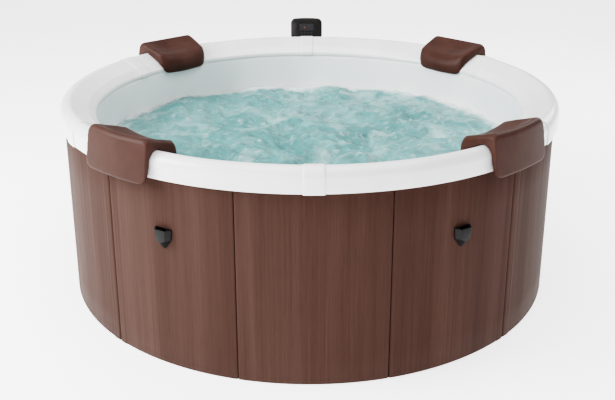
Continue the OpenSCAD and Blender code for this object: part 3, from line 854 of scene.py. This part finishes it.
def display():
    rings = []
    for z, inset in ((-0.015, 0.004), (-0.0138, 0.0015), (-0.011, 0),
                     (0.0115, 0), (0.0138, 0.0010), (0.015, 0.0034)):
        rings.append([on_display(x, y, z) for x, y in head_outline(inset)])
    verts, faces = ringed(rings)
    obj = make("display_body", verts, faces, HEAD_GLOSS, body=None)
    v, f = [], []
    holes = [[(x, y) for x, y in rounded_loop(0.0353, 0.0168, 0.003, 5)]]
    for k in range(1, 5):
        lo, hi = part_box(f"button_{k}")
        cx = (lo[0] + hi[0]) / 2
        holes.append([(cx + 0.0059 * math.cos(a), -0.028 + 0.0059 * math.sin(a))
                      for a in [2 * math.pi * q / 32 for q in range(32)]])
    for h, loop in enumerate(holes):
        floor_z = 0.013 if h == 0 else 0.008
        hv, hf = ringed([[on_display(x, y, z) for x, y in loop] for z in (floor_z, 0.02)])
        f += [tuple(q + len(v) for q in face) for face in hf]
        v += hv
    cut(obj, v, f)
    split_normals(obj, 45)
    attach(obj, "tub")
    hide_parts("display_head")
    boxes("display_post", [((-0.036, HEAD[1] - 0.018, UNIT_TOP), (0.036, HEAD[1], HEAD[2] - 0.036))],
          DARK, 0.003)
    turns = [2 * math.pi * k / 24 for k in range(24)]
    v, f = ringed([[on_display(-0.010 + r * math.cos(a), -0.001 + r * math.sin(a), z) for a in turns]
                   for z, r in ((0.0145, 0.0014), (0.0150, 0.0012))])
    led_mat = material("status_led", (0.8, 0.25, 0.08), rough=0.4)
    led_bsdf = tree(led_mat)[2]
    led_bsdf.inputs["Emission Color"].default_value = (1, 0.35, 0.12, 1)
    led_bsdf.inputs["Emission Strength"].default_value = 0.5
    led = make("display_led", v, f, led_mat)


display()


def screws(name, spots, normal, mat, body="tub"):
    """Low domed screw heads at the spots, in one piece."""
    v, f = [], []
    z = Vector(normal)
    x = z.orthogonal().normalized()
    y = z.cross(x)
    n = 20
    for c in spots:
        base = len(v)
        c = Vector(c)
        for h, r in ((-0.0006, 0.0048), (0.0010, 0.0048), (0.0021, 0.0036), (0.0024, 0.0018)):
            v += [c + z * h + x * r * math.cos(2 * math.pi * k / n) + y * r * math.sin(2 * math.pi * k / n)
                  for k in range(n)]
        for q in range(3):
            for k in range(n):
                m = (k + 1) % n
                f.append((base + q * n + k, base + q * n + m, base + (q + 1) * n + m, base + (q + 1) * n + k))
        f.append(tuple(base + 3 * n + k for k in range(n)))
        f.append(tuple(base + n - 1 - k for k in range(n)))
    obj = make(name, v, f, mat, body=body)
    return obj


screws("casing_screws_back", [(x, uy1, z) for x in (-0.163, 0.163) for z in (0.10, 0.32, 0.52)],
       (0, 1, 0), STEEL)
screws("door_screws", [(0.128, uy1 + 0.001, z) for z in (0.10, 0.31, 0.52)], (0, 1, 0), STEEL,
       body="service_door")

# ---------------------------------------------------------------- staged: water, floor, lights
WATER_Z = 0.5015
noise.seed_set(3)  # noise_vector takes its offsets from this seed, or else from the clock


def water():
    """The filled water, staged and not part of the object: a churned surface with foam."""
    n_r, n_a = 150, 420
    verts, faces = [], []
    R = IN_R - 0.002
    verts.append(Vector((0, 0, WATER_Z)))
    for j in range(1, n_r + 1):
        r = R * (j / n_r) ** 0.8
        for k in range(n_a):
            a = 2 * math.pi * k / n_a
            p = polar(r, a, 0)
            h = 0.0
            w = noise.noise_vector(p * 4.0) * 0.09
            q = p + w
            h += 0.030 * noise.noise(q * 6.0)
            h += 0.011 * (0.5 - abs(noise.noise(q * 15.0 + Vector((3, 1, 0))))) * 2 - 0.011
            h += 0.005 * noise.noise(q * 34.0)
            fade = smooth_step((R - r) / 0.10) * 0.35 + 0.65
            verts.append(Vector((p.x, p.y, WATER_Z + h * fade)))
    for k in range(n_a):
        faces.append((0, 1 + k, 1 + (k + 1) % n_a))
    for j in range(n_r - 1):
        for k in range(n_a):
            m = (k + 1) % n_a
            a, b = 1 + j * n_a, 1 + (j + 1) * n_a
            faces.append((a + k, b + k, b + m, a + m))
    m = material("water_churned", (0.2, 0.35, 0.36), rough=0.12, spec=0.4)
    nodes, links, _ = tree(m)
    flat = scaled_coords(m, (1, 1, 0.3))
    big = noise_tex(m, flat, 3.4, 5.0, 0.6, 1.2)
    swirl = noise_tex(m, flat, 6.5, 10.0, 0.60, 0.8)
    fine = noise_tex(m, flat, 34.0, 8.0, 0.66, 0.7)
    body_tone = ramp(m, big, [(0.34, (0.085, 0.210, 0.211)), (0.50, (0.125, 0.270, 0.270)),
                              (0.66, (0.185, 0.335, 0.334))])
    foam = ramp(m, swirl, [(0.50, (0, 0, 0)), (0.64, (0.34,) * 3), (0.80, (0.85,) * 3)])
    c1 = mix(m, body_tone, (0.50, 0.60, 0.60), foam)
    # painted glints: pale flecks on the peaks of the fine noise stand in for light sparkling on the churned
    # surface
    painted_glints = ramp(m, fine, [(0.56, (0, 0, 0)), (0.74, (0.55,) * 3)])
    c2 = mix(m, c1, (0.62, 0.70, 0.70), painted_glints)
    shade = ramp(m, fine, [(0.30, (0.72, 0.80, 0.80)), (0.46, (1, 1, 1))])
    c3 = mix(m, c2, shade, 0.6, "MULTIPLY")
    # near the wall the water is shallow-looking and clear, and the white liner shows through it
    dist = nodes.new("ShaderNodeVectorMath")
    dist.operation = "LENGTH"
    links.new(scaled_coords(m, (1, 1, 0)), dist.inputs[0])
    ragged = nodes.new("ShaderNodeMath")
    ragged.operation = "MULTIPLY_ADD"
    links.new(big, ragged.inputs[0])
    ragged.inputs[1].default_value = 0.16
    links.new(dist.outputs["Value"], ragged.inputs[2])
    edge = ramp(m, ragged.outputs[0], [(0.835, (0, 0, 0)), (0.880, (1, 1, 1))])
    put(m, "Base Color", mix(m, c3, (0.66, 0.70, 0.70), edge))
    put(m, "Roughness", ramp(m, swirl, [(0.42, (0.10,) * 3), (0.62, (0.42,) * 3)]))
    n1 = bump(m, fine, 0.4, 0.006)
    bump(m, swirl, 0.45, 0.014, base=n1)
    obj = make("water", verts, faces, m, body=None)


water()

STUDIO_HALF = 40
STUDIO_Z = -0.0005
studio_mat = material("studio_floor", (0.93, 0.93, 0.93), rough=0.9, spec=0.1)
grain = noise_tex(studio_mat, scaled_coords(studio_mat, (1, 1, 1)), 3.0, 2.0)
put(studio_mat, "Base Color", ramp(studio_mat, grain, [(0.3, (0.92,) * 3), (0.7, (0.94,) * 3)]))
floor_light = tree(studio_mat)[2]
floor_light.inputs["Emission Color"].default_value = (1, 1, 1, 1)
floor_light.inputs["Emission Strength"].default_value = 1.0
floor_corners = [(x * STUDIO_HALF, y * STUDIO_HALF, STUDIO_Z)
                 for x, y in ((-1, -1), (1, -1), (1, 1), (-1, 1))]
floor = make("studio_floor", floor_corners, [(0, 1, 2, 3)], studio_mat, body=None)

world = bpy.data.worlds.new("studio")
bpy.context.scene.world = world
world.use_nodes = True
bg = world.node_tree.nodes["Background"]
bg.inputs["Color"].default_value = (1, 1, 1, 1)
bg.inputs["Strength"].default_value = 0.55


AIM = Vector((0, 0, 0.45))


def area(name, az, el, dist, size, energy):
    """An area lamp at an azimuth and elevation, facing the tub."""
    lamp = bpy.data.lights.new(name, "AREA")
    lamp.shape = "RECTANGLE"
    lamp.size, lamp.size_y = size
    lamp.energy = energy
    o = bpy.data.objects.new(name, lamp)
    a, e = math.radians(az), math.radians(el)
    o.location = AIM + Vector((math.sin(a) * math.cos(e), -math.cos(a) * math.cos(e), math.sin(e))) * dist
    o.rotation_euler = (AIM - o.location).to_track_quat("-Z", "Y").to_euler()
    bpy.context.scene.collection.objects.link(o)


area("key_left", -72, 30, 4.2, (2.2, 2.6), 195)
area("front_soft", -30, 16, 5.0, (3.0, 2.0), 45)
area("top_soft", 10, 82, 4.0, (4.0, 4.0), 108)
area("back_right", 128, 30, 4.2, (1.4, 2.6), 36)

view = bpy.context.scene.view_settings
view.view_transform = "Filmic"
view.look = "High Contrast"
view.exposure = 0.0
